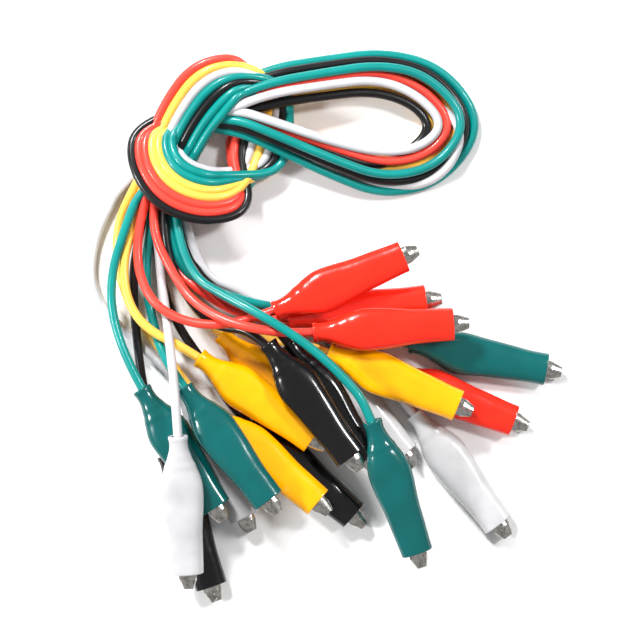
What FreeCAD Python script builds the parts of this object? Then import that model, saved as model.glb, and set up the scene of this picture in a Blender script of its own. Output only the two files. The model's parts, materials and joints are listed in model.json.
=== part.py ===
"""A set of ten alligator clip test leads, folded in half together and tied in one overhand knot.

Millimetres. The set lies on the plane z = 0, +Z is up. The layout of the clips and cables is written in
a drawing frame whose origin is moved to the middle of the clips' box by FRAME_SHIFT.

Each clip is built once in its own frame: +X runs from the cable entry to the jaw tip, Y is the direction
in which the jaws open, and Z is the pivot's axis.
"""

import FreeCAD
import Part
import math
import os

V = FreeCAD.Vector

# ---- driving dimensions -------------------------------------------------------------------------
FRAME_SHIFT = V(6.64, -21.48, 0.04)  # drawing frame to part frame
CABLE_R = 1.05                      # outer radius of the cable's jacket
CABLE_IN = 8.2                      # how far the jacket reaches into a boot
CONDUCTOR_R = 0.45                  # radius of the bunched copper strands
CONDUCTOR_L = 4.4

BOOT_L = 32.0
BOOT_WALL = 0.5
# Stations along the boot: x, half width across the jaws, half thickness along the pivot, corner radius
BOOT_STATIONS = [
    (0.0, 2.15, 2.00, 1.95),
    (2.4, 2.10, 2.00, 1.95),
    (6.0, 3.20, 2.25, 1.95),
    (9.5, 4.55, 2.50, 2.05),
    (12.2, 5.00, 2.55, 2.10),
    (16.0, 4.75, 2.55, 2.10),
    (22.0, 4.15, 2.50, 2.05),
    (28.0, 3.80, 2.42, 2.00),
    (32.0, 3.70, 2.40, 2.00),
]

SHEET = 0.35                        # thickness of the jaws' plated steel
PIVOT_X = 19.0
TIP_X = 35.7
NOSE_START = 21.6                   # the toothed nose runs from here to the tip
NOSE_HALF_W = 1.6
PAD_HALF_W = 1.35
PAD_END = 11.2                      # rear end of each jaw's finger pad
EAR_R = 2.2
MOVING_EAR = (1.02, 1.38)           # inner and outer face of the moving jaw's ears, along the pivot
FIXED_EAR = (1.43, 1.78)
TOOTH_PITCH = 1.3
TOOTH_HEIGHT = 0.56
TOOTH_GAP = 0.06                    # half the gap between the closed rows of teeth
TEETH_FROM = 24.0
# The jaw's back, seen from the side: x, distance from the closing line
BACK = [(11.2, 3.95), (14.0, 3.55), (17.0, 3.0), (21.6, 2.7), (28.0, 2.35), (33.6, 2.0), (35.7, 1.2)]
# Envelope that rounds the nose: x, half width, half height
NOSE_ROUND = [(21.0, 1.9, 3.3), (33.2, 1.65, 2.45), (35.8, 1.1, 1.45)]

RIVET_R = 0.9
RIVET_BORE_R = 0.5
RIVET_HEAD_R = 1.5
RIVET_HALF_L = 1.98
FIXED_HOLE_R = 0.92
MOVING_HOLE_R = 0.95

SPRING_WIRE_R = 0.17
SPRING_COIL_R = 1.24
SPRING_TURNS = 4.5
SPRING_PITCH = 0.36

CRIMP_R = 1.08                      # inner radius of the crimp round the jacket
CRIMP_X = (5.0, 7.8)
WIRE_CRIMP_X = (9.2, 10.8)

COLOURS = ("red", "yellow", "white", "teal", "black")


# ---- small helpers ------------------------------------------------------------------------------
def prism(points, z0, z1):
    """A straight prism over a polygon in the XY plane."""
    corners = [V(x, y, z0) for x, y in points]
    face = Part.Face(Part.makePolygon(corners + corners[:1]))
    return face.extrude(V(0, 0, z1 - z0))


def tube_x(radius, x0, x1, y=0.0):
    return Part.makeCylinder(radius, x1 - x0, V(x0, y, 0), V(1, 0, 0))


def union(shapes):
    whole = shapes[0].multiFuse(shapes[1:]).removeSplitter()
    return whole.Solids[0] if len(whole.Solids) == 1 else whole


def back_at(x):
    """The height of the jaw's back over the closing line."""
    for (x0, y0), (x1, y1) in zip(BACK, BACK[1:]):
        if x0 <= x <= x1:
            return y0 + (y1 - y0) * (x - x0) / (x1 - x0)
    return BACK[-1][1]


# ---- the boot -----------------------------------------------------------------------------------
def rounded_section(x, half_y, half_z, radius):
    """A rounded rectangle across the boot, as a wire of four sides and four arcs."""
    radius = min(radius, half_y - 0.04, half_z - 0.04)
    dy, dz, diagonal = half_y - radius, half_z - radius, radius * math.sqrt(0.5)
    edges = []
    for turn in range(4):
        sy = (1, -1, -1, 1)[turn]
        sz = (1, 1, -1, -1)[turn]
        side = V(x, sy * half_y, sz * dz)
        top = V(x, sy * dy, sz * half_z)
        middle = V(x, sy * (dy + diagonal), sz * (dz + diagonal))
        first, last = (side, top) if turn % 2 == 0 else (top, side)
        edges.append(Part.Arc(first, middle, last).toShape())
        if turn % 2 == 0:
            edges.append(Part.makeLine(last, V(x, -last.y, last.z)))
        else:
            edges.append(Part.makeLine(last, V(x, last.y, -last.z)))
    return Part.Wire(edges)


def boot():
    """The soft vinyl sleeve: snug round the cable, bulging over the finger pads, open at the mouth."""
    outer = Part.makeLoft([rounded_section(*s) for s in BOOT_STATIONS], True)
    hollow = [(x, hy - BOOT_WALL, hz - BOOT_WALL, r - BOOT_WALL) for x, hy, hz, r in BOOT_STATIONS[1:]]
    hollow[-1] = (BOOT_L + 0.2, *hollow[-1][1:])
    inner = Part.makeLoft([rounded_section(*s) for s in hollow], True)
    entry = tube_x(CABLE_R, -1.0, BOOT_STATIONS[1][0] + 0.5)
    return outer.cut(inner).cut(entry).Solids[0]


# ---- the jaws -----------------------------------------------------------------------------------
def tooth_line():
    """The zigzag along which the two noses close, from the first tooth to the tip."""
    count = int((TIP_X - TEETH_FROM) / (TOOTH_PITCH / 2))
    half = TOOTH_HEIGHT / 2
    return [(TEETH_FROM + i * TOOTH_PITCH / 2, half if i % 2 else -half) for i in range(count + 1)]


def nose_envelope(shrink):
    wires = []
    for x, half_w, half_h in NOSE_ROUND:
        major, minor = half_h - shrink, half_w - shrink
        ellipse = Part.Ellipse(V(x, major, 0), V(x, 0, minor), V(x, 0, 0))
        wires.append(Part.Wire([ellipse.toShape()]))
    return Part.makeLoft(wires, True, True)


def nose(side):
    """The hollow toothed nose of one jaw; side is +1 for the moving jaw and -1 for the fixed one."""
    lift = side * TOOTH_GAP
    teeth = [(x, y + lift) for x, y in tooth_line()] + [(TIP_X, lift)]
    backs = [(x, side * back_at(x)) for x in (TIP_X, 33.6, 28.0, NOSE_START)]
    outline = [(NOSE_START, side * 0.35)] + teeth + backs
    shell = prism(outline, -NOSE_HALF_W, NOSE_HALF_W).common(nose_envelope(0.0))
    room = [(NOSE_START - 1, -side * 1.0), (TIP_X - SHEET, -side * 1.0)]
    room += [(x, side * (back_at(x) - SHEET)) for x in (TIP_X - SHEET, 33.4, 28.0, NOSE_START)]
    room += [(NOSE_START - 1, side * (back_at(NOSE_START) - SHEET))]
    inside = NOSE_HALF_W - SHEET
    return shell.cut(prism(room, -inside, inside).common(nose_envelope(SHEET)))


def finger_strip(side):
    """The flat strip over the ears and the finger pad behind them."""
    top = [(x, side * y) for x, y in BACK[:4]] + [(NOSE_START + 1.5, side * back_at(NOSE_START + 1.5))]
    low = [(x, side * (abs(y) - SHEET)) for x, y in reversed(top)]
    return prism(top + low, -PAD_HALF_W, PAD_HALF_W)


def ears(side, faces, hole_r):
    """The two ears that the rivet goes through, joined to the strip and the nose."""
    web = [
        (PIVOT_X - 2.1, side * 0.6),
        (PIVOT_X - 2.4, side * (back_at(PIVOT_X - 2.4) - 0.1)),
        (NOSE_START, side * (back_at(NOSE_START) - 0.1)),
        (NOSE_START + 2.0, side * (back_at(NOSE_START + 2.0) - 0.35)),
        (NOSE_START + 2.0, side * 0.5),
        (PIVOT_X + 2.0, side * 0.6),
    ]
    shapes = []
    for low, high in (faces, (-faces[1], -faces[0])):
        disc = Part.makeCylinder(EAR_R, high - low, V(PIVOT_X, 0, low))
        hole = Part.makeCylinder(hole_r, high - low + 2, V(PIVOT_X, 0, low - 1))
        shapes.append(disc.fuse(prism(web, low, high)).cut(hole))
    return shapes


def moving_jaw():
    return union([nose(1), finger_strip(1)] + ears(1, MOVING_EAR, MOVING_HOLE_R))


def crimps():
    """The tail of the fixed jaw: a strip that rises to the cable, and the two crimps on it."""
    rise = [(PAD_END + 0.8, -3.8), (PAD_END + 0.8, -3.4), (10.9, -0.6), (9.2, -0.6), (8.4, -1.1),
            (CRIMP_X[0], -1.1), (CRIMP_X[0], -1.4), (8.2, -1.4), (9.2, -1.1), (10.3, -1.1)]
    tail = prism(rise, -0.9, 0.9)
    jacket = tube_x(CRIMP_R + SHEET, *CRIMP_X).cut(tube_x(CRIMP_R, CRIMP_X[0] - 1, CRIMP_X[1] + 1))
    wire = tube_x(CONDUCTOR_R + 0.33, *WIRE_CRIMP_X)
    bore = tube_x(CRIMP_R, CRIMP_X[0] - 1, 8.6)
    wire_bore = tube_x(CONDUCTOR_R + 0.02, CRIMP_X[1], PAD_END + 2)
    return union([tail.cut(bore), jacket, wire]).cut(wire_bore)


def fixed_jaw():
    side_plates = ears(-1, FIXED_EAR, FIXED_HOLE_R)
    bridge = prism([(PIVOT_X - 2.3, -back_at(PIVOT_X - 2.3)), (PIVOT_X - 2.3, 0.4 - back_at(PIVOT_X - 2.3)),
                    (NOSE_START, 0.4 - back_at(NOSE_START)), (NOSE_START, -back_at(NOSE_START))],
                   -FIXED_EAR[1], FIXED_EAR[1])
    return union([nose(-1), finger_strip(-1), bridge, crimps()] + side_plates)


def rivet():
    """A tubular rivet with two rolled heads."""
    shank = Part.makeCylinder(RIVET_R, 2 * RIVET_HALF_L, V(PIVOT_X, 0, -RIVET_HALF_L))
    head_t = RIVET_HALF_L - FIXED_EAR[1] - 0.02
    heads = [Part.makeCylinder(RIVET_HEAD_R, head_t, V(PIVOT_X, 0, z))
             for z in (RIVET_HALF_L - head_t, -RIVET_HALF_L)]
    bore = Part.makeCylinder(RIVET_BORE_R, 2 * RIVET_HALF_L + 2, V(PIVOT_X, 0, -RIVET_HALF_L - 1))
    return union([shank] + heads).cut(bore).Solids[0]


def spring_leg(z, side):
    """A straight leg from the coil back along the inside of one finger pad."""
    start = V(PIVOT_X, side * SPRING_COIL_R, z)
    end = V(13.2, side * 2.85, z * 0.5)
    return Part.makeCylinder(SPRING_WIRE_R, (end - start).Length, start, end - start)


def spring():
    """The torsion spring: a close coil round the rivet, with a leg under each finger pad."""
    height = SPRING_TURNS * SPRING_PITCH
    helix = Part.makeHelix(SPRING_PITCH, height, SPRING_COIL_R)
    profile = Part.Wire([Part.makeCircle(SPRING_WIRE_R, V(SPRING_COIL_R, 0, 0), V(0, 1, 0))])
    coil = Part.Wire(helix).makePipeShell([profile], True, True)
    coil.rotate(V(0, 0, 0), V(0, 0, 1), 90)
    coil.translate(V(PIVOT_X, 0, -height / 2))
    return union([coil, spring_leg(-height / 2, 1), spring_leg(height / 2, -1)])


def conductor():
    return tube_x(CONDUCTOR_R, CABLE_IN, CABLE_IN + CONDUCTOR_L)


# ---- the layout ---------------------------------------------------------------------------------
# Each clip in the drawing frame: cable entry, jaw tip, and roll about its own length in degrees.
CLIPS = {
    "red_1a": ((-10.5, 4.3, 12.0), (22.8, 18.4, 11.1), 0),
    "red_1b": ((-7.4, 2.4, 6.5), (26.8, 7.0, 6.5), 180),
    "red_2a": ((-1.6, -0.6, 12.1), (34.4, 1.6, 11.4), 180),
    "red_2b": ((14.8, -9.7, 3.45), (48.6, -22.5, 2.85), 0),
    "yellow_1a": ((-27.8, -6.3, 7.9), (1.3, -26.9, 7.9), 180),
    "yellow_1b": ((-25.0, -18.8, 7.0), (2.2, -41.8, 8.9), 180),
    "yellow_2a": ((2.0, -5.1, 7.5), (35.1, -18.8, 9.1), 180),
    "yellow_2b": ((-23.0, -1.0, 2.6), (3.0, -26.2, 2.6), 0),
    "white_1a": ((-32.2, -24.0, 15.8), (-30.0, -59.6, 9.4), 0),
    "white_1b": ((-31.5, -14.5, 2.6), (-15.8, -46.5, 2.6), 180),
    "white_2a": ((21.9, -19.4, 2.6), (43.3, -47.4, 2.6), 0),
    "white_2b": ((-1.5, -4.6, 2.6), (21.6, -31.2, 2.6), 180),
    "teal_1a": ((-41.0, -13.5, 7.9), (-22.0, -43.8, 7.9), 0),
    "teal_1b": ((-31.0, -13.2, 11.6), (-9.0, -42.2, 13.9), 180),
    "teal_2a": ((11.8, -20.6, 15.5), (23.3, -54.0, 10.8), 0),
    "teal_2b": ((20.8, -3.2, 2.6), (56.3, -9.9, 2.6), 0),
    "black_1a": ((-35.6, -29.0, 2.6), (-23.9, -62.9, 2.6), 0),
    "black_1b": ((-16.6, -22.0, 2.6), (10.4, -45.2, 2.6), 180),
    "black_2a": ((-12.0, -3.1, 12.8), (9.4, -32.0, 13.1), 180),
    "black_2b": ((-7.1, -3.0, 7.8), (13.0, -32.5, 7.8), 180),
}

APPROACH = 4.0                      # the cable is straight from this far outside its boot

# The free stretch of each cable in the drawing frame, from inside the bundle to its clip.
TAILS = {
    "red_1a": [(-39.8, 31, 6.1), (-41.9, 23, 6.3), (-42.0, 14, 7.2), (-38.6, 6.3, 9.4), (-32.0, 2.2, 10.5),
               (-24.0, 0.9, 11.7)],
    "red_1b": [(-27.5, 8.9, 6.2), (-20.6, 4.6, 6.4)],
    "red_2a": [(-33.6, 12.6, 7.6), (-29.4, 6.6, 10.0), (-22, 2.1, 13.8), (-13.6, 0.0, 15.6)],
    "red_2b": [(-23.6, 7.0, 2.4), (-15.8, 4.2, 1.5), (-7.3, 2.0, 3.3), (1.7, -1.5, 3.5)],
    "yellow_1a": [(-41.5, 31, 3.7), (-43.3, 23.5, 4.8), (-45.6, 14.5, 6.2), (-44, 5.5, 7.2), (-39.2, -0.3, 8.0)],
    "yellow_1b": [(-43.5, 32, 3.6), (-46.8, 25, 2.4), (-47.3, 16, 1.2), (-44.7, 6.5, 1.2), (-39.8, -1.2, 2.0),
                  (-34.2, -7.6, 4.2)],
    "yellow_2a": [(-25.6, 4.9, 1.7), (-18.5, 1.2, 1.6), (-10.6, -2.5, 1.6)],
    "yellow_2b": [(-32.6, 12.6, 2.6), (-30.2, 6.6, 2.6)],
    "white_1a": [(-37.2, 17.6, 4.0), (-36.6, 11, 4.8), (-35.5, 4.5, 7.2), (-34.4, -3, 10.8), (-33.2, -11, 15.0)],
    "white_1b": [(-44.5, 35, 1.2), (-49.5, 28, 1.2), (-53, 19, 1.2), (-53, 10, 1.2), (-48.5, 2.5, 1.2),
                 (-42, -3.5, 1.2)],
    "white_2a": [(-26.6, 12.4, 3.0), (-19.2, 9.4, 1.6), (-11.6, 5.2, 1.1), (-4, 1.2, 1.1), (4.4, -4.4, 1.1),
                 (10.3, -9.2, 1.1), (14.6, -13.4, 1.2)],
    "white_2b": [(-26.5, 6.8, 4.2), (-19.3, 2.9, 4.0), (-11.5, 0.7, 3.6)],
    "teal_1a": [(-41.7, 32, 6.3), (-45.0, 23, 6.8), (-48.0, 13.5, 6.9), (-48.0, 3.0, 6.9)],
    "teal_1b": [(-39.0, 24, 3.7), (-40.1, 17.4, 3.6), (-40.3, 10.5, 3.7), (-39.0, 3.5, 4.0), (-37.0, -3.8, 6.1)],
    "teal_2a": [(-28.8, 11.8, 8.6), (-22, 8.0, 12.0), (-14.5, 4.0, 15.4), (-7.0, -0.4, 16.0), (0, -5.6, 15.8),
                (6, -11.4, 15.7)],
    "teal_2b": [(-24.6, 9.2, 4.6), (-16.6, 6.4, 3.8), (-8, 4.9, 3.4), (1, 2.3, 2.7), (10.4, -0.9, 2.6)],
    "black_1a": [(-40.0, 31, 1.4), (-42, 22, 2.2), (-43.2, 13, 3.6), (-42.9, 3.5, 4.0), (-42, -5, 3.8),
                 (-41.0, -13.5, 3.0)],
    "black_1b": [(-37.4, 15, 1.3), (-36.0, 8, 1.3), (-32.8, 0.6, 1.5), (-27.2, -7.2, 2.8)],
    "black_2a": [(-30, 6.8, 6.0), (-24, 0.4, 7.0)],
    "black_2b": [(-22.8, 8.4, 8.2), (-15.2, 4.3, 9.9)],
}


def clip_placement(name):
    """Where a clip lies, as a placement of its own frame in the part's frame."""
    entry, tip, roll = CLIPS[name]
    base = V(*entry) - FRAME_SHIFT
    along = (V(*tip) - V(*entry)).normalize()
    level = V(0, 0, 1).cross(along).normalize()
    turned = FreeCAD.Rotation(along, roll)
    across = turned.multVec(level)
    pivot_axis = turned.multVec(along.cross(level))
    return FreeCAD.Placement(base, FreeCAD.Rotation(along, across, pivot_axis, "XYZ"))


def tail_points(name):
    """The corners of one cable's free stretch, from the knot to its end inside the boot."""
    place = clip_placement(name)
    points = [V(*p) - FRAME_SHIFT for p in TAILS[name]]
    return points + [place.multVec(V(-APPROACH, 0, 0)), place.multVec(V(CABLE_IN, 0, 0))]


def rounded_path(points, last_room):
    """Straight runs joined by tangent arcs as large as the runs allow, and the arcs' radii."""
    edges, radii = [], []
    start = points[0]
    for i in range(1, len(points) - 1):
        into, out = points[i] - points[i - 1], points[i + 1] - points[i]
        turn = into.getAngle(out)
        reach = 0.45 * min(into.Length, out.Length)
        if i == len(points) - 2:
            reach = min(reach, last_room)
        first = points[i] - V(into).normalize() * reach
        last = points[i] + V(out).normalize() * reach
        radius = reach / math.tan(turn / 2)
        inward = (V(out).normalize() - V(into).normalize()).normalize()
        middle = points[i] + inward * (radius / math.cos(turn / 2) - radius)
        edges.append(Part.LineSegment(start, first).toShape())
        edges.append(Part.Arc(first, middle, last).toShape())
        radii.append(radius)
        start = last
    edges.append(Part.LineSegment(start, points[-1]).toShape())
    return Part.Wire(edges), radii


def cable_tube(points, radius):
    """A round tube along a rounded path."""
    path, radii = rounded_path(points, APPROACH - 0.2)
    ring = Part.Wire([Part.makeCircle(radius, points[0], points[1] - points[0])])
    tube = path.makePipeShell([ring], True, True)
    return tube, path.Length, min(radii)


# ---- the tied bundle ----------------------------------------------------------------------------
# Stretches of the bundle in the drawing frame: centre, half width and half height of its section.
LOWER_LEG = [
    ((-21, 49, 6.5), 4.4, 3.6), ((-8, 43.5, 6.0), 4.4, 3.2), ((4, 39.5, 5.0), 4.8, 3.0),
    ((17, 36.8, 4.2), 5.4, 2.9), ((27.5, 39.5, 4.0), 5.6, 2.9), ((31.4, 47.5, 4.0), 6.2, 2.9),
]
UPPER_LEG = [
    ((30.6, 42.0, 4.0), 5.7, 2.7), ((31.6, 48.6, 4.0), 6.0, 2.8), ((26.5, 56.5, 4.0), 5.8, 2.9), ((15, 59.8, 4.4), 5.4, 2.9),
    ((2, 57.8, 5.6), 4.9, 3.1), ((-10, 55.0, 6.6), 4.6, 3.4), ((-22, 49, 6.8), 4.3, 3.5),
]
FRONT_BAND = [
    ((-12, 50, 6.0), 3.6, 3.2), ((-14.5, 57.5, 8.0), 3.8, 3.2), ((-23, 58.0, 9.6), 4.4, 3.2),
    ((-29, 50.0, 9.6), 4.6, 3.2), ((-33, 41.5, 7.4), 4.6, 3.2), ((-37, 33, 5.0), 4.6, 3.6),
]
BACK_BAND = [
    ((-26, 51.5, 5.5), 4.2, 3.2), ((-33, 51.0, 5.0), 4.4, 3.0), ((-39.3, 46.0, 5.0), 4.6, 3.0),
    ((-40.0, 38.0, 7.0), 4.6, 3.2), ((-33.5, 31.4, 9.0), 4.6, 3.2), ((-24, 29.6, 8.0), 4.6, 3.2),
    ((-15.5, 34.5, 5.6), 4.6, 3.2), ((-14.5, 44, 4.4), 4.6, 3.2),
]
RIVER = [
    ((-37.5, 36, 4.6), 4.4, 4.0), ((-36.0, 28, 4.5), 4.6, 4.0), ((-35.2, 20, 4.6), 4.6, 4.2),
    ((-32.8, 13.0, 4.9), 4.6, 4.4), ((-28.0, 8.2, 5.2), 4.2, 4.4), ((-22.6, 5.2, 5.2), 3.2, 3.6),
]


def bundle(stations):
    """A smooth rope of cables laid side by side, oval in section."""
    rings = []
    for i, (centre, half_w, half_h) in enumerate(stations):
        before = V(*stations[max(i - 1, 0)][0])
        after = V(*stations[min(i + 1, len(stations) - 1)][0])
        along = (after - before).normalize()
        side = V(0, 0, 1).cross(along).normalize()
        oval = Part.Ellipse(V(0, 0, 0), max(half_w, half_h + 0.01), half_h).toShape()
        turn = FreeCAD.Rotation(side, along.cross(side), along, "XYZ")
        oval.Placement = FreeCAD.Placement(V(*centre) - FRAME_SHIFT, turn)
        rings.append(Part.Wire([oval]))
    return Part.makeLoft(rings, True)


def knotted_loop():
    """The tied middle of the bundle: the overhand knot, its loop and the first of its free ends."""
    first, *others = [bundle(s) for s in (LOWER_LEG, UPPER_LEG, FRONT_BAND, BACK_BAND, RIVER)]
    for other in others:
        first = first.fuse(other)
    return first.Solids[0]


# ---- the named pieces ---------------------------------------------------------------------------
LEADS = ["red_1", "red_2", "yellow_1", "yellow_2", "white_1", "white_2",
         "teal_1", "teal_2", "black_1", "black_2"]


def save(name, solids, colour):
    """Write one named piece, which may be several separate solids."""
    shape = solids[0] if len(solids) == 1 else Part.makeCompound(solids)
    shape.exportStep("parts/" + name + ".step")
    print(name, len(solids), colour)


def placed(shape, clip):
    """A copy of a clip's piece where that clip lies."""
    copy = shape.copy()
    copy.Placement = clip_placement(clip)
    return copy


def main():
    os.makedirs("parts", exist_ok=True)
    clip_boot = boot()
    clip_moving_jaw = moving_jaw()
    clip_fixed_jaw = fixed_jaw()
    for clip in CLIPS:
        save(clip + "_boot", [placed(clip_boot, clip)], clip.split("_")[0])
        save(clip + "_moving_jaw", [placed(clip_moving_jaw, clip)], "nickel")
    for colour in COLOURS:
        four = [placed(clip_fixed_jaw, c) for c in CLIPS if c.startswith(colour)]
        save(colour + "_fixed_jaws", four, "nickel")
    save("pivot_rivets", [placed(rivet(), c) for c in CLIPS], "nickel")
    save("torsion_springs", [placed(spring(), c) for c in CLIPS], "steel")
    save("stripped_conductors", [placed(conductor(), c) for c in CLIPS], "copper")
    for lead in LEADS:
        tubes = []
        for end in "ab":
            tube, length, tightest = cable_tube(tail_points(lead + end), CABLE_R)
            section = math.pi * CABLE_R ** 2
            print(lead + end, "length", round(length, 1), "tightest bend", round(tightest, 1),
                  "volume over section times length", round(tube.Volume / (section * length), 4))
            tubes.append(tube)
        save(lead + "_cable", tubes, lead.split("_")[0])
    save("knotted_loop", [knotted_loop()], "mixed")


if __name__ == "__main__":
    main()
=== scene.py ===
import bpy, json, math
from mathutils import Vector, Matrix


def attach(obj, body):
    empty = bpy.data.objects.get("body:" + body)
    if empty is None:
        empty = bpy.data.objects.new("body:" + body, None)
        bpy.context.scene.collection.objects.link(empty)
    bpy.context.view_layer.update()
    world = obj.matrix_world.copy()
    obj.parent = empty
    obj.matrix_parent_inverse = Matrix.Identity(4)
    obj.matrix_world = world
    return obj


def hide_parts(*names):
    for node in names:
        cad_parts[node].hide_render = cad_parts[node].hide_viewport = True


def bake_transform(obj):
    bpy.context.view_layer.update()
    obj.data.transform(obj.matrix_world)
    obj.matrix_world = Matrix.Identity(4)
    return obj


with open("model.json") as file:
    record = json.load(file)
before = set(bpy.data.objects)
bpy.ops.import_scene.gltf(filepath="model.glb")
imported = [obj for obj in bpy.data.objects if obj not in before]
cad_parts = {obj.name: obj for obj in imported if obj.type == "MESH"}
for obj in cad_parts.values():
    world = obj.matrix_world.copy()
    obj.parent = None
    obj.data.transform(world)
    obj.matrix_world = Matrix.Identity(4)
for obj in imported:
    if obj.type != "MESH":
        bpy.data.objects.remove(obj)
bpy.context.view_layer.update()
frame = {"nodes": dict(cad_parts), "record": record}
MM = 0.001
CABLE_R = 0.00105                             # metres
CABLE_D = 2.1                                 # the same cable across, in mm
SHIFT = Vector((6.64, -21.48, 0.04))          # drawing frame to part frame, as in part.py
JOINTS = {j["name"]: j for j in frame["record"]["behaviour"]["joints"]}
MOUNTS = {m["name"]: m for m in frame["record"]["mounts"]}

# ---- materials ---------------------------------------------------------------
def new_material(name):
    mat = bpy.data.materials.new(name)
    mat.use_nodes = True
    nt = mat.node_tree
    return mat, nt, nt.nodes["Principled BSDF"]

def noise(nt, scale, detail, stretch=(1, 1, 1)):
    coord = nt.nodes.new("ShaderNodeTexCoord")
    mapping = nt.nodes.new("ShaderNodeMapping")
    mapping.inputs["Scale"].default_value = stretch
    tex = nt.nodes.new("ShaderNodeTexNoise")
    tex.inputs["Scale"].default_value = scale
    tex.inputs["Detail"].default_value = detail
    nt.links.new(coord.outputs["Object"], mapping.inputs["Vector"])
    nt.links.new(mapping.outputs["Vector"], tex.inputs["Vector"])
    return tex.outputs["Fac"]

def ramp(nt, fac, stops):
    node = nt.nodes.new("ShaderNodeValToRGB")
    els = node.color_ramp.elements
    els[0].position, els[0].color = stops[0][0], (*stops[0][1], 1)
    els[1].position, els[1].color = stops[-1][0], (*stops[-1][1], 1)
    for pos, col in stops[1:-1]:
        e = els.new(pos)
        e.color = (*col, 1)
    nt.links.new(fac, node.inputs["Fac"])
    return node.outputs["Color"]

def bump(nt, bsdf, layers):
    last = None
    for fac, strength, dist in layers:
        b = nt.nodes.new("ShaderNodeBump")
        b.inputs["Strength"].default_value = strength
        b.inputs["Distance"].default_value = dist
        nt.links.new(fac, b.inputs["Height"])
        if last:
            nt.links.new(last, b.inputs["Normal"])
        last = b.outputs["Normal"]
    nt.links.new(last, bsdf.inputs["Normal"])

def scaled(c, k):
    return tuple(min(1.0, v * k) for v in c)

def vinyl(name, colour, rough, coat, wobble):
    """Soft glossy vinyl: faint mottling, slow waves in the skin and a very fine grain."""
    mat, nt, b = new_material(name)
    mottle = noise(nt, 140, 3)
    nt.links.new(ramp(nt, mottle, [(0.3, scaled(colour, 0.88)), (0.7, scaled(colour, 1.07))]),
                 b.inputs["Base Color"])
    shine = nt.nodes.new("ShaderNodeMapRange")
    shine.inputs["To Min"].default_value = rough - 0.05
    shine.inputs["To Max"].default_value = rough + 0.09
    nt.links.new(noise(nt, 320, 4), shine.inputs["Value"])
    nt.links.new(shine.outputs["Result"], b.inputs["Roughness"])
    bump(nt, b, [(noise(nt, 170, 2), wobble, 0.0006), (noise(nt, 2600, 3), 0.10, 0.00005)])
    b.inputs["Coat Weight"].default_value = coat
    b.inputs["Coat Roughness"].default_value = 0.06
    b.inputs["IOR"].default_value = 1.5
    b.inputs["Specular IOR Level"].default_value = 0.3
    return mat

def metal(name, light, dark, rough):
    """Bare or plated metal: rolled streaks, and darker tarnish in patches."""
    mat, nt, b = new_material(name)
    nt.links.new(ramp(nt, noise(nt, 900, 5), [(0.32, dark), (0.5, scaled(light, 0.86)), (0.7, light)]),
                 b.inputs["Base Color"])
    b.inputs["Metallic"].default_value = 1.0
    r = nt.nodes.new("ShaderNodeMapRange")
    r.inputs["To Min"].default_value = rough - 0.06
    r.inputs["To Max"].default_value = rough + 0.14
    nt.links.new(noise(nt, 1500, 4), r.inputs["Value"])
    nt.links.new(r.outputs["Result"], b.inputs["Roughness"])
    bump(nt, b, [(noise(nt, 700, 3), 0.12, 0.0001), (noise(nt, 3000, 3, (1, 5, 1)), 0.18, 0.00006)])
    return mat

BOOT_COLOUR = {"red": (0.86, 0.022, 0.008), "yellow": (0.93, 0.40, 0.0), "white": (0.52, 0.52, 0.53),
               "teal": (0.0, 0.094, 0.092), "black": (0.004, 0.0035, 0.004)}
CABLE_COLOUR = {"red": (0.90, 0.060, 0.040), "yellow": (0.96, 0.56, 0.085), "white": (0.56, 0.56, 0.58),
                "teal": (0.0, 0.235, 0.215), "black": (0.006, 0.006, 0.007)}
BOOT_MAT = {c: vinyl(c + "_boot_vinyl", v, 0.20, 0.45, 0.25) for c, v in BOOT_COLOUR.items()}
CABLE_MAT = {c: vinyl(c + "_cable_vinyl", v, 0.30, 0.2, 0.08) for c, v in CABLE_COLOUR.items()}
NICKEL = metal("nickel_plate", (0.74, 0.71, 0.67), (0.40, 0.37, 0.33), 0.16)
STEEL = metal("spring_wire", (0.50, 0.50, 0.50), (0.20, 0.19, 0.18), 0.28)
COPPER = metal("copper_strands", (0.80, 0.42, 0.26), (0.45, 0.20, 0.12), 0.32)

def dress(node, mat):
    """Give every slot of a CAD node this material."""
    for slot in frame["nodes"][node].material_slots:
        slot.material = mat

# ---- where each clip lies ----------------------------------------------------
ENDS = [c + "_" + n + e for c in ("red", "yellow", "white", "teal", "black") for n in "12" for e in "ab"]
PIVOT_X = 19.0

def clip_frame(clip):
    """A clip's own frame: +X cable entry to tip, +Y opening, +Z along the pivot."""
    joint, mount = JOINTS[clip + "_pivot"], MOUNTS[clip + "_tip"]
    x, z = Vector(mount["axis"]).normalized(), Vector(joint["axis"]).normalized()
    y = z.cross(x)
    o = Vector(joint["pos_m"]) - x * PIVOT_X * MM
    m = Matrix((x, y, z)).transposed().to_4x4()
    m.translation = o
    return m

CLIP = {c: clip_frame(c) for c in ENDS}

# ---- boots -------------------------------------------------------------------
BOOT_L = 32.0
BOOT_WALL = 0.5
NECK_WALL = 0.95                              # thicker where the boot grips the cable
NECK_L = 3
RING_POINTS = 56
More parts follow.
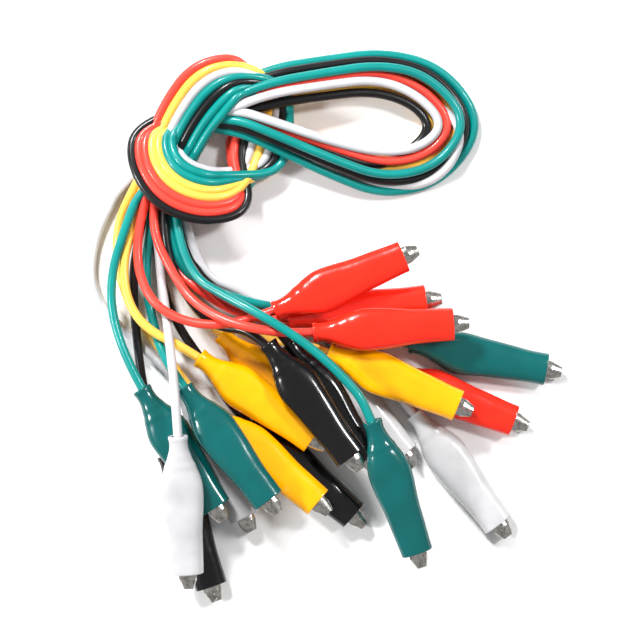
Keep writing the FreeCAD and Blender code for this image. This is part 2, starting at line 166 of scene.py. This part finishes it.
# x, half width, half thickness, squareness of the section
STATIONS = [(0.0, 2.20, 2.05, 2.1), (0.5, 2.34, 2.14, 2.1), (1.2, 2.12, 2.0, 2.1),
            (2.4, 2.08, 1.96, 2.1), (4.0, 2.4, 2.05, 2.1), (6.0, 3.20, 2.24, 2.15),
            (8.0, 3.98, 2.40, 2.2), (10.0, 4.66, 2.52, 2.25), (11.6, 4.96, 2.56, 2.3),
            (13.0, 4.95, 2.56, 2.35), (16.0, 4.74, 2.56, 2.4), (19.0, 4.44, 2.54, 2.4),
            (22.0, 4.15, 2.51, 2.4), (25.0, 3.96, 2.47, 2.4), (28.0, 3.80, 2.43, 2.4),
            (31.2, 3.72, 2.41, 2.4), (32.0, 3.72, 2.41, 2.4)]
SHAPED_X = (1.0, 31.5)                        # between the rolled ends, where the outline sets the normals
OUTLINE_STEP = 0.2                            # how far apart two outlines are compared for a normal
RIPPLE_SHIFT = 1.3                            # each boot's ripples differ from the last one's by this much
SEAM_X = 9.4                                  # the boot is two shells: its neck, and its body

def station(x):
    """Half width, half thickness and squareness at x, between the stations."""
    for p, q in zip(STATIONS, STATIONS[1:]):
        if x <= q[0] + 1e-9:                  # a hair past the station still counts as on it
            t = (x - p[0]) / (q[0] - p[0])
            return tuple(a + (b - a) * t for a, b in zip(p[1:], q[1:]))
    return STATIONS[-1][1:]

def soft_station(x):
    """The section at x, averaged over a short reach so that the stations don't show as creases."""
    reach = 0.9 if x > 2.0 else 0.25
    got = [station(min(BOOT_L, max(0.0, x + d * reach))) for d in (-1, -0.5, 0, 0.5, 1)]
    return tuple(sum(g[k] for g in got) / 5 for k in range(3))

def ring(x, inset, seed):
    """One closed outline of the boot at x; only the outside, with no inset, has the dish and the ripples."""
    hy, hz, n = soft_station(x)
    pts = []
    for k in range(RING_POINTS):
        a = 2 * math.pi * k / RING_POINTS
        c, s = math.cos(a), math.sin(a)
        y = (hy - inset) * math.copysign(abs(c) ** (2 / n), c)
        z = (hz - inset) * math.copysign(abs(s) ** (2 / n), s)
        if inset == 0:
            # a shallow dish where the fingers press, and soft ripples where the skin bends to the neck
            dish = 0.16 * math.exp(-((x - 14.5) / 3.4) ** 2) * max(0, 1 - (y / 3.4) ** 2)
            ripple = 0.07 * math.sin(x * 2.4 + seed) * math.exp(-((x - 6.3) / 2.2) ** 2)
            slack = 0.05 * math.sin(0.55 * x + 2 * a + seed * 1.7) * min(1, x / 8)
            z -= math.copysign(dish, s) * abs(s)
            y *= 1 + (ripple + slack) / hy
            z *= 1 + (ripple + slack) / hz * 0.6
        pts.append((x, y, z))
    return pts

def shell(name, xs, seed, neck=False):
    """A closed skin: out along the outside, round the lip, and back along the inside."""
    rings = [ring(x, 0, seed) for x in xs]
    last = xs[-1]
    if last == BOOT_L:
        rings.append([(last + 0.14, y * 0.985, z * 0.985) for _, y, z in ring(last, 0, seed)])
        rings.append([(last + 0.16, y, z) for _, y, z in ring(last, 0.22, seed)])
        rings.append([(last + 0.08, y, z) for _, y, z in ring(last, BOOT_WALL - 0.04, seed)])
    back = xs[::-1][::2] + ([xs[0]] if (len(xs) - 1) % 2 else [])
    for x in back:
        rings.append(ring(x, NECK_WALL if neck and x <= NECK_L else BOOT_WALL, seed))
    mesh = bpy.data.meshes.new(name)
    n = RING_POINTS
    verts = [tuple(v * MM for v in p) for r in rings for p in r]
    faces = []
    for i in range(len(rings)):
        j = (i + 1) % len(rings)
        for k in range(n):
            beside = (k + 1) % n
            faces.append((i * n + k, i * n + beside, j * n + beside, j * n + k))
    mesh.from_pydata(verts, [], faces)
    mesh.polygons.foreach_set("use_smooth", [True] * len(mesh.polygons))
    mesh.update()
    # the outside's normals come from the outline itself, so that the two shells meet without a visible seam
    normals = [v.normal.copy() for v in mesh.vertices]
    for i, x in enumerate(xs):
        here = ring(x, 0, seed)
        before, after = ring(x - OUTLINE_STEP, 0, seed), ring(x + OUTLINE_STEP, 0, seed)
        if SHAPED_X[0] < x < SHAPED_X[1]:
            for k in range(n):
                along = Vector(after[k]) - Vector(before[k])
                around = Vector(here[(k + 1) % n]) - Vector(here[k - 1])
                normals[i * n + k] = around.cross(along).normalized()
                if normals[i * n + k].dot(Vector((0, here[k][1], here[k][2]))) < 0:
                    normals[i * n + k].negate()
    mesh.normals_split_custom_set_from_vertices(normals)
    obj = bpy.data.objects.new(name, mesh)
    bpy.context.collection.objects.link(obj)
    return obj

REAR_X = [0, 0.15, 0.35, 0.6, 0.9, 1.2, 1.7, 2.3, 3, 3.6, 4.2, 4.8, 5.4, 6, 6.6, 7.2, 7.8, 8.4, 8.9, SEAM_X]
FRONT_X = [SEAM_X] + [9.9 + 0.6 * k for k in range(36)] + [31.3, 31.7, BOOT_L]

for index, clip in enumerate(ENDS):
    colour = clip.split("_")[0]
    seed = index * RIPPLE_SHIFT
    rear = shell(clip + "_boot_neck", REAR_X, seed, neck=True)
    front = shell(clip + "_boot_body", FRONT_X, seed)
    for obj in (rear, front):
        obj.data.transform(CLIP[clip])
        obj.data.materials.append(BOOT_MAT[colour])
        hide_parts(clip + "_boot")
    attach(rear, "root")
    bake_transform(front)
    dress(clip + "_moving_jaw", NICKEL)
for colour in BOOT_COLOUR:
    dress(colour + "_fixed_jaws", NICKEL)
dress("pivot_rivets", NICKEL)
dress("torsion_springs", STEEL)
dress("stripped_conductors", COPPER)

# ---- cables ------------------------------------------------------------------
CABLE_IN = 8.2                                # the cable ends this far inside its clip
APPROACH = 4.0                                # and is straight from this far outside it
# The free stretch of each cable in the drawing frame, from inside the bundle to its clip, as in part.py.
TAILS = {
    "red_1a": [(-39.8, 31, 6.1), (-41.9, 23, 6.3), (-42.0, 14, 7.2), (-38.6, 6.3, 9.4),
               (-32.0, 2.2, 10.5), (-24.0, 0.9, 11.7)],
    "red_1b": [(-27.5, 8.9, 6.2), (-20.6, 4.6, 6.4)],
    "red_2a": [(-33.6, 12.6, 7.6), (-29.4, 6.6, 10.0), (-22, 2.1, 13.8), (-13.6, 0.0, 15.6)],
    "red_2b": [(-23.6, 7.0, 2.4), (-15.8, 4.2, 1.5), (-7.3, 2.0, 3.3), (1.7, -1.5, 3.5)],
    "yellow_1a": [(-41.5, 31, 3.7), (-43.3, 23.5, 4.8), (-45.6, 14.5, 6.2), (-44, 5.5, 7.2),
                  (-39.2, -0.3, 8.0)],
    "yellow_1b": [(-43.5, 32, 3.6), (-46.8, 25, 2.4), (-47.3, 16, 1.2), (-44.7, 6.5, 1.2),
                  (-39.8, -1.2, 2.0), (-34.2, -7.6, 4.2)],
    "yellow_2a": [(-25.6, 4.9, 1.7), (-18.5, 1.2, 1.6), (-10.6, -2.5, 1.6)],
    "yellow_2b": [(-32.6, 12.6, 2.6), (-30.2, 6.6, 2.6)],
    "white_1a": [(-37.2, 17.6, 4.0), (-36.6, 11, 4.8), (-35.5, 4.5, 7.2), (-34.4, -3, 10.8),
                 (-33.2, -11, 15.0)],
    "white_1b": [(-44.5, 35, 1.2), (-49.5, 28, 1.2), (-53, 19, 1.2), (-53, 10, 1.2), (-48.5, 2.5, 1.2),
                 (-42, -3.5, 1.2)],
    "white_2a": [(-26.6, 12.4, 3.0), (-19.2, 9.4, 1.6), (-11.6, 5.2, 1.1), (-4, 1.2, 1.1),
                 (4.4, -4.4, 1.1), (10.3, -9.2, 1.1), (14.6, -13.4, 1.2)],
    "white_2b": [(-26.5, 6.8, 4.2), (-19.3, 2.9, 4.0), (-11.5, 0.7, 3.6)],
    "teal_1a": [(-41.7, 32, 6.3), (-45.0, 23, 6.8), (-48.0, 13.5, 6.9), (-48.0, 3.0, 6.9)],
    "teal_1b": [(-39.0, 24, 3.7), (-40.1, 17.4, 3.6), (-40.3, 10.5, 3.7), (-39.0, 3.5, 4.0),
                (-37.0, -3.8, 6.1)],
    "teal_2a": [(-28.8, 11.8, 8.6), (-22, 8.0, 12.0), (-14.5, 4.0, 15.4), (-7.0, -0.4, 16.0),
                (0, -5.6, 15.8), (6, -11.4, 15.7)],
    "teal_2b": [(-24.6, 9.2, 4.6), (-16.6, 6.4, 3.8), (-8, 4.9, 3.4), (1, 2.3, 2.7), (10.4, -0.9, 2.6)],
    "black_1a": [(-40.0, 31, 1.4), (-42, 22, 2.2), (-43.2, 13, 3.6), (-42.9, 3.5, 4.0), (-42, -5, 3.8),
                 (-41.0, -13.5, 3.0)],
    "black_1b": [(-37.4, 15, 1.3), (-36.0, 8, 1.3), (-32.8, 0.6, 1.5), (-27.2, -7.2, 2.8)],
    "black_2a": [(-30, 6.8, 6.0), (-24, 0.4, 7.0)],
    "black_2b": [(-22.8, 8.4, 8.2), (-15.2, 4.3, 9.9)],
}
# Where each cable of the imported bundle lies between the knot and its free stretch.
LANES = {
    "red_1b": [(-36.4, 31, 1.4), (-36.2, 21, 1.4), (-33.2, 13.6, 3.6)],
    "red_2a": [(-38.0, 31, 6.1), (-38.4, 22, 6.6)],
    "red_2b": [(-34.6, 31, 1.4), (-34.2, 21, 1.4), (-30.4, 12.6, 1.4)],
    "yellow_2a": [(-33.6, 31, 1.4), (-35.4, 20, 3.2), (-32.6, 11.6, 1.4)],
    "yellow_2b": [(-38.6, 31, 1.4), (-37.0, 21, 1.4)],
    "white_1a": [(-38.4, 30, 3.6), (-38.0, 24, 3.6)],
    "white_2a": [(-31.8, 31, 5.4), (-30.6, 22.5, 4.8)],
    "white_2b": [(-34.4, 31, 3.7), (-33.6, 21, 3.6), (-31.2, 12.6, 3.8)],
    "teal_1b": [(-39.4, 31, 3.6)],
    "teal_2a": [(-33.4, 31, 6.1), (-32.6, 21, 6.8)],
    "teal_2b": [(-35.2, 31, 3.8), (-34.2, 21, 5.2), (-31.4, 13.4, 5.6)],
    "black_1b": [(-40.4, 30, 1.4), (-38.6, 22, 1.3)],
    "black_2a": [(-35.8, 31, 6.1), (-35.8, 22, 6.4), (-34.0, 13.4, 6.2)],
    "black_2b": [(-32.2, 31, 1.5), (-31.4, 21, 1.6), (-28.6, 13.2, 4.2)],
}
# The knot in the drawing frame: middle of the ribbon of twenty cables, spacing across it, and which order
# of ORDER holds there.
KNOT = [
    ((-35.0, 40.0, 5.6), 1.75, "front"),
    ((-31.0, 48.5, 8.4), 2.0, "front"),
    ((-25.0, 56.0, 10.6), 2.15, "front"),
    ((-17.6, 58.8, 10.2), 1.35, "front"),
    ((-11.0, 54.8, 6.4), 1.35, "down"),
    ((-12.4, 47.0, 3.6), 1.9, "down"),
    ((-14.8, 38.5, 3.6), 2.1, "down"),
    ((-18.6, 31.8, 7.2), 1.6, "low"),
    ((-26.0, 30.2, 10.2), 1.75, "low"),
    ((-34.2, 33.2, 10.4), 1.75, "low"),
    ((-38.6, 40.0, 9.2), 1.6, "low"),
    ((-37.8, 46.8, 6.8), 1.35, "low"),
]
MIDDLE_PLACE = 3
# Places across the ribbon (0 is its left going along) and down through it (0 is on top).
ORDER = {
    # in front, from the fold at the top right down to where the free ends leave
    "front": {
        "red_1a": (0, 0), "yellow_1a": (1, 0), "white_2a": (2, 0), "teal_2a": (3, 0),
        "black_2a": (4, 0), "teal_1a": (5, 0), "teal_1b": (6, 0), "red_2a": (0, 1), "yellow_1b": (1, 1),
        "white_1b": (2, 1), "black_1a": (3, 1), "red_1b": (4, 1), "yellow_2a": (5, 1),
        "teal_2b": (6, 1), "black_1b": (0.4, 2), "white_1a": (1.5, 2), "white_2b": (2.6, 2),
        "red_2b": (3.7, 2), "yellow_2b": (4.8, 2), "black_2b": (5.9, 2)},
    # behind both sides of the loop
    "down": {
        "teal_2a": (0, 0), "black_2a": (1, 0), "white_2a": (2, 0), "yellow_1a": (3, 0),
        "white_1a": (4, 0), "black_1a": (5, 0), "red_2a": (6, 0), "red_1a": (6.6, 1),
        "teal_1a": (0.4, 1), "yellow_1b": (1.5, 1), "teal_1b": (2.6, 1), "white_1b": (3.7, 1),
        "red_1b": (4.8, 1), "black_1b": (5.7, 1), "yellow_2a": (0.4, 1.9), "teal_2b": (1.5, 1.9),
        "white_2b": (2.6, 1.9), "red_2b": (3.7, 1.9), "yellow_2b": (4.8, 1.9), "black_2b": (5.9, 1.9)},
    # in front again, round the bottom and up the left side: outer edge first
    "low": {
        "black_1a": (-0.4, 0), "red_1a": (0.7, 0), "red_2a": (1.7, 0), "yellow_1a": (2.8, 0),
        "yellow_1b": (3.8, 0), "teal_1a": (4.9, 0), "teal_2a": (5.9, 0), "white_2a": (6.6, 1.2),
        "black_2a": (5.4, 1.1), "white_1a": (4.3, 1), "white_1b": (3.2, 1), "teal_1b": (2.1, 1),
        "red_1b": (1.1, 1), "black_1b": (0.1, 1), "yellow_2a": (5.6, 2), "teal_2b": (4.5, 2),
        "white_2b": (3.4, 2), "red_2b": (2.3, 2), "yellow_2b": (1.2, 2), "black_2b": (0.2, 2)},
}
# Each lead's loop in the drawing frame: out along the upper leg, round the end, back along the lower leg.
LOOP = {
    "teal_1": [(-24.0, 53.8, 5.2), (-12.0, 60.2, 5.8), (0.0, 62.2, 4.8), (15.0, 64.4, 3.4),
               (29.0, 60.6, 2.2), (38.0, 47.6, 1.4), (29.0, 34.6, 1.4), (15.0, 31.0, 2.4),
               (2.0, 36.0, 4.0), (-9.0, 41.2, 6.0), (-21.0, 46.6, 6.4)],
    "black_1": [(-24.0, 52.8, 7.4), (-12.0, 58.6, 7.6), (0.0, 60.8, 6.2), (15.0, 62.8, 4.6),
                (27.6, 59.0, 3.2), (35.6, 47.0, 2.6), (27.6, 36.0, 2.6), (15.0, 33.6, 4.0),
                (3.0, 38.0, 6.0), (-9.0, 43.0, 8.2), (-21.0, 48.0, 7.6)],
    "teal_2": [(-24.0, 51.8, 9.2), (-12.0, 56.6, 9.6), (0.0, 58.9, 8.2), (14.0, 61.2, 6.4),
               (25.4, 58.6, 4.8), (34.4, 48.4, 4.2), (27.4, 37.8, 4.6), (15.0, 35.0, 6.0),
               (3.0, 39.2, 8.0), (-9.0, 44.2, 9.8), (-21.0, 49.2, 8.8)],
    "yellow_1": [(-24.0, 51.0, 5.0), (-12.0, 57.4, 5.4), (0.0, 59.8, 4.2), (14.0, 62.0, 2.4),
                 (26.6, 57.8, 1.4), (33.2, 47.4, 1.2), (26.4, 38.6, 1.3), (15.0, 36.6, 2.0),
                 (3.0, 40.4, 3.6), (-9.0, 45.2, 5.6), (-21.0, 50.0, 5.0)],
    "red_1": [(-24.0, 50.0, 7.4), (-12.0, 55.4, 7.6), (0.0, 57.5, 6.2), (13.0, 59.6, 4.4),
              (23.6, 56.4, 3.2), (31.0, 47.8, 2.8), (25.2, 40.4, 3.0), (15.0, 38.4, 4.2),
              (3.0, 41.8, 6.0), (-9.0, 46.0, 8.0), (-21.0, 50.8, 7.2)],
    "white_1": [(-24.0, 49.2, 9.4), (-12.0, 54.0, 9.8), (0.0, 56.0, 8.4), (13.0, 57.9, 6.0),
                (22.6, 54.4, 4.4), (28.8, 47.6, 3.6), (23.4, 42.0, 4.0), (14.0, 40.8, 5.4),
                (3.0, 43.2, 7.4), (-9.0, 47.2, 9.6), (-21.0, 51.2, 9.0)],
    "yellow_2": [(-24.0, 48.4, 5.2), (-12.0, 53.2, 5.6), (0.0, 55.0, 4.4), (12.0, 56.9, 2.6),
                 (21.4, 53.8, 1.6), (27.0, 47.4, 1.2), (22.0, 41.8, 1.2), (13.0, 39.8, 1.8),
                 (2.0, 42.6, 3.6), (-9.0, 47.6, 5.4), (-21.0, 51.6, 5.0)],
    "black_2": [(-24.0, 47.6, 7.2), (-12.0, 51.8, 7.8), (0.0, 53.7, 6.6), (12.0, 55.2, 4.8),
                (21.4, 52.4, 3.4), (25.8, 47.0, 2.8), (21.0, 41.4, 2.8), (13.0, 37.4, 3.8),
                (2.0, 41.0, 5.8), (-9.0, 45.8, 7.6), (-21.0, 51.0, 7.0)],
    "red_2": [(-24.0, 50.6, 3.2), (-12.0, 58.2, 3.4), (0.0, 59.0, 2.2), (14.0, 60.4, 1.3),
              (25.4, 55.8, 1.2), (31.4, 47.0, 1.1), (24.6, 37.4, 1.1), (13.0, 34.6, 1.2),
              (1.0, 39.4, 2.0), (-9.0, 44.0, 3.8), (-21.0, 49.4, 3.2)],
    "white_2": [(-24.0, 52.4, 3.2), (-12.0, 56.2, 3.4), (0.0, 57.2, 2.2), (12.0, 58.6, 1.3),
                (24.0, 54.6, 1.1), (34.2, 46.6, 3.4), (28.2, 34.4, 3.6), (15.0, 32.6, 1.8),
                (1.0, 37.6, 2.2), (-9.0, 42.6, 4.0), (-21.0, 48.2, 3.2)],
}

def ribbon(end):
    """One cable end's corners through the knot, in its own place in the ribbon."""
    pts = []
    for i, (mid, pitch, order) in enumerate(KNOT):
        before, after = Vector(KNOT[max(i - 1, 0)][0]), Vector(KNOT[min(i + 1, len(KNOT) - 1)][0])
        along = after - before
        left = Vector((-along.y, along.x, 0)).normalized()
        across, down = ORDER[order][end]
        pts.append(Vector(mid) + left * (MIDDLE_PLACE - across) * pitch + Vector((0, 0, -down * CABLE_D)))
    return pts

def lead_route(lead):
    """Every corner of one lead, from inside its first clip, through the knot and loop, to its second."""
    halves = []
    for e in "ab":
        end = lead + e
        at = CLIP[end]
        inside = [(at @ Vector((x * MM, 0, 0))) / MM + SHIFT for x in (CABLE_IN, -APPROACH)]
        tail = [Vector(p) for p in TAILS[end]][::-1]
        lane = [Vector(p) for p in LANES.get(end, [])][::-1]
        halves.append(inside + tail + lane + ribbon(end))
    top = [Vector(p) for p in LOOP[lead]]
    return halves[0] + top + halves[1][::-1]

# Length of each lead's cable, in metres.
LENGTHS = {"red_1": 0.49, "red_2": 0.505, "yellow_1": 0.495, "yellow_2": 0.445, "white_1": 0.47,
           "white_2": 0.49, "teal_1": 0.485, "teal_2": 0.51, "black_1": 0.53, "black_2": 0.44}

for lead in sorted(LENGTHS):
    route = lead_route(lead)
    curve = bpy.data.curves.new(lead + "_lead", "CURVE")
    curve.dimensions = "3D"
    spline = curve.splines.new("NURBS")
    spline.points.add(len(route) - 1)
    for point, p in zip(spline.points, route):
        q = (p - SHIFT) * MM
        point.co = (q.x, q.y, max(q.z, CABLE_R), 1)
    spline.order_u = 3
    spline.use_endpoint_u = True
    curve.resolution_u = 10
    curve.bevel_depth = CABLE_R
    curve.bevel_resolution = 6
    curve.use_fill_caps = True
    obj = bpy.data.objects.new(lead + "_lead", curve)
    bpy.context.collection.objects.link(obj)
    colour = lead.split("_")[0]
    curve.materials.append(CABLE_MAT[colour])
    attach(obj, "root")
    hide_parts(lead + "_cable", "knotted_loop")

# ---- floor, light and camera -------------------------------------------------
bpy.ops.mesh.primitive_plane_add(size=6, location=(0, 0, 0))
floor = bpy.context.object
floor.name = "floor"
mat, nt, b = new_material("pale_floor")
b.inputs["Base Color"].default_value = (0.93, 0.93, 0.93, 1)
b.inputs["Roughness"].default_value = 0.9
b.inputs["Specular IOR Level"].default_value = 0.2
floor.data.materials.append(mat)

def area(name, loc, target, size, power):
    """A square softbox that faces its target."""
    light = bpy.data.lights.new(name, "AREA")
    light.shape, light.size, light.energy = "SQUARE", size, power
    obj = bpy.data.objects.new(name, light)
    bpy.context.collection.objects.link(obj)
    obj.location = loc
    obj.rotation_euler = (Vector(target) - Vector(loc)).to_track_quat("-Z", "Y").to_euler()

area("key", (-0.32, 0.62, 0.62), (0, 0.02, 0), 0.16, 10.5)
area("side", (-0.70, -0.05, 0.50), (0, 0.02, 0), 0.14, 5.0)
area("fill", (0.50, 0.30, 0.70), (0, 0, 0), 0.12, 4.2)

world = bpy.data.worlds.new("studio")
world.use_nodes = True
world.node_tree.nodes["Background"].inputs["Color"].default_value = (1, 1, 1, 1)
world.node_tree.nodes["Background"].inputs["Strength"].default_value = 0.36
bpy.context.scene.world = world

VIEW_CENTRE = (-0.00664, 0.02377)
VIEW_HEIGHT = 0.608
cam = bpy.data.cameras.new("camera")
cam.sensor_width = 36
cam.lens = 147.0
cam.clip_end = 10
camera = bpy.data.objects.new("camera", cam)
bpy.context.collection.objects.link(camera)
camera.location = (*VIEW_CENTRE, VIEW_HEIGHT)
camera.rotation_euler = (0, 0, 0)
bpy.context.scene.camera = camera
bpy.context.scene.view_settings.view_transform = "Standard"
